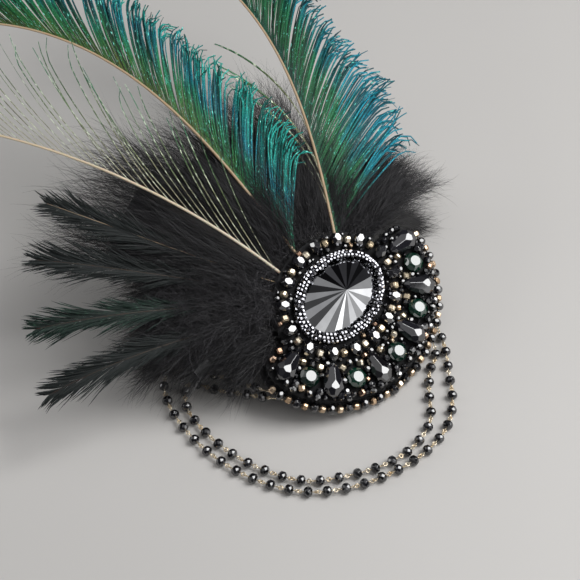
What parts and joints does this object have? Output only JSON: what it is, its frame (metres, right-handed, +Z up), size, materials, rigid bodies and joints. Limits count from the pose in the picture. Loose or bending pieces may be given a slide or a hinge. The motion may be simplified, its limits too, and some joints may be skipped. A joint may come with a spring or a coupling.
{
  "type": "flapper feather hair ornament lying on a surface",
  "caption": "Beaded felt crescent with an oval stone, sword feathers, marabou and two draped bead chains, on a hair clip.",
  "frame": {"origin": "middle of the hair clip's flat underside, at the centre of the oval stone seen square on", "axes": "+X along the clip towards the right of the ornament, +Y level and towards the feathers, +Z up from the table; the felts lean 28 degrees about X"},
  "size_m": [0.2081, 0.2644, 0.1093],
  "materials": {
    "clip_steel": "plain steel strip",
    "black_felt": "dense black felt",
    "edge_beads": "jet and gold-lustred faceted beads in turn",
    "hematite_glass": "mirror-bright hematite coating on cut glass",
    "bezel_beads": "hematite seed beads",
    "jet_glass": "opaque jet, cut and polished",
    "gold_metal": "pale gold lustre, polished",
    "green_glass": "very dark green cut glass",
    "sword_barbs": "iridescent green barbs with teal and blue tips",
    "black_down": "soft black marabou",
    "black_hackle": "glossy black hackle with a thin shaft",
    "chain_beads": "jet faceted beads on gold wire links"
  },
  "bodies": {
    "root": {"back_clip": "clip_steel", "back_felt": "black_felt", "front_felt": "black_felt", "edge_beads": "edge_beads", "main_stone": "hematite_glass", "stone_bezel": "bezel_beads", "ring_black_bead_1": "jet_glass", "ring_gold_bead_1": "gold_metal", "ring_black_bead_2": "jet_glass", "ring_gold_bead_2": "gold_metal", "ring_black_bead_3": "jet_glass", "ring_gold_bead_3": "gold_metal", "ring_black_bead_4": "jet_glass", "ring_gold_bead_4": "gold_metal", "ring_black_bead_5": "jet_glass", "ring_gold_bead_5": "gold_metal", "ring_black_bead_6": "jet_glass", "ring_gold_bead_6": "gold_metal", "ring_black_bead_7": "jet_glass", "ring_gold_bead_7": "gold_metal", "ring_black_bead_8": "jet_glass", "ring_gold_bead_8": "gold_metal", "ring_black_bead_9": "jet_glass", "ring_gold_bead_9": "gold_metal", "ring_black_bead_10": "jet_glass", "ring_gold_bead_10": "gold_metal", "ring_black_bead_11": "jet_glass", "ring_gold_bead_11": "gold_metal", "ring_black_bead_12": "jet_glass", "ring_gold_bead_12": "gold_metal", "ring_black_bead_13": "jet_glass", "ring_gold_bead_13": "gold_metal", "ring_black_bead_14": "jet_glass", "ring_gold_bead_14": "gold_metal", "ring_black_bead_15": "jet_glass", "ring_gold_bead_15": "gold_metal", "drop_stone_1": "jet_glass", "drop_stone_2": "jet_glass", "drop_stone_3": "jet_glass", "drop_stone_4": "jet_glass", "drop_stone_5": "jet_glass", "drop_stone_6": "jet_glass", "green_stone_1": "green_glass", "green_stone_2": "green_glass", "green_stone_3": "green_glass", "green_stone_4": "green_glass", "green_stone_5": "green_glass", "sword_feather_middle": "sword_barbs", "sword_feather_left": "sword_barbs", "sword_feather_right": "sword_barbs", "marabou_left": "black_down", "marabou_middle": "black_down", "marabou_right": "black_down", "hackle_1": "black_hackle", "hackle_2": "black_hackle", "hackle_3": "black_hackle", "hackle_4": "black_hackle", "chain_outer": "chain_beads", "chain_inner": "chain_beads"}
  },
  "joints": []
}
